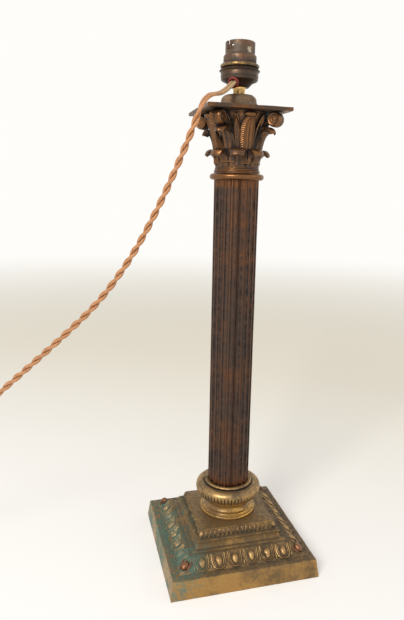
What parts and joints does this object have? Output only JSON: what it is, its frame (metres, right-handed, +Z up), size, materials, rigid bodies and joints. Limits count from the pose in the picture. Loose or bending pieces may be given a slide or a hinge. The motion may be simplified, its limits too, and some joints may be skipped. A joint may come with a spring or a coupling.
{
  "type": "column table lamp",
  "caption": "Corinthian column table lamp: stepped square base, fluted shaft, leafy capital, bayonet lampholder and a twisted flex that ends in a three-pin plug.",
  "frame": {"origin": "centre of the square base's underside, on the surface that the lamp stands on", "axes": "+Z up along the column, -Y the front face, -X the side that the flex leaves to"},
  "size_m": [0.5497, 0.144, 0.486],
  "materials": {
    "base_brass": "aged, with verdigris",
    "polished_brass": "polished",
    "brown_brass": "dark brown patina",
    "holder_brown": "brown tarnish",
    "steel": "zinc plated",
    "red_rubber": "satin",
    "insulator": "glazed",
    "contact_brass": "bright",
    "flex_silk": "braided",
    "plug_black": "gloss",
    "fuse_ceramic": "matt",
    "fibre": "matt"
  },
  "bodies": {
    "lamp": {"plinth": "base_brass", "base_scotia": "polished_brass", "gadroon_ring": "base_brass", "shaft": "brown_brass", "neck_ring": "brown_brass", "capital": "brown_brass", "abacus": "brown_brass", "abacus_cap": "brown_brass", "tie_rod": "steel", "base_washer": "steel", "base_nut": "steel", "rod_collar": "polished_brass", "holder_cap": "holder_brown", "cord_grommet": "red_rubber", "coupling_ring": "holder_brown", "holder_barrel": "holder_brown", "holder_core": "insulator", "plunger_spring_left": "steel", "plunger_spring_right": "steel", "terminal_screws": "contact_brass", "flex_lead": "flex_silk", "flex_coil": "flex_silk", "flex_tail": "flex_silk", "plug_cover": "plug_black", "plug_base": "plug_black", "plug_earth_pin": "contact_brass", "plug_line_pin": "contact_brass", "plug_neutral_pin": "contact_brass", "plug_fuse": "fuse_ceramic", "plug_cord_grip": "fibre", "plug_screw": "steel"},
    "shade_ring": {"shade_ring": "polished_brass"},
    "plunger_left": {"plunger_left": "contact_brass"},
    "plunger_right": {"plunger_right": "contact_brass"}
  },
  "joints": [
    {"name": "shade_ring_unscrew", "type": "slide", "parent": "lamp", "child": "shade_ring", "axis": [0, 0, 1], "range_m": [0, 0.007]},
    {"name": "plunger_left_push", "type": "slide", "parent": "lamp", "child": "plunger_left", "axis": [0, 0, -1], "range_m": [0, 0.0025], "stiffness_N_per_m": 900, "springref_m": -0.002, "deforming": ["plunger_spring_left"]},
    {"name": "plunger_right_push", "type": "slide", "parent": "lamp", "child": "plunger_right", "axis": [0, 0, -1], "range_m": [0, 0.0025], "stiffness_N_per_m": 900, "springref_m": -0.002, "deforming": ["plunger_spring_right"]}
  ]
}
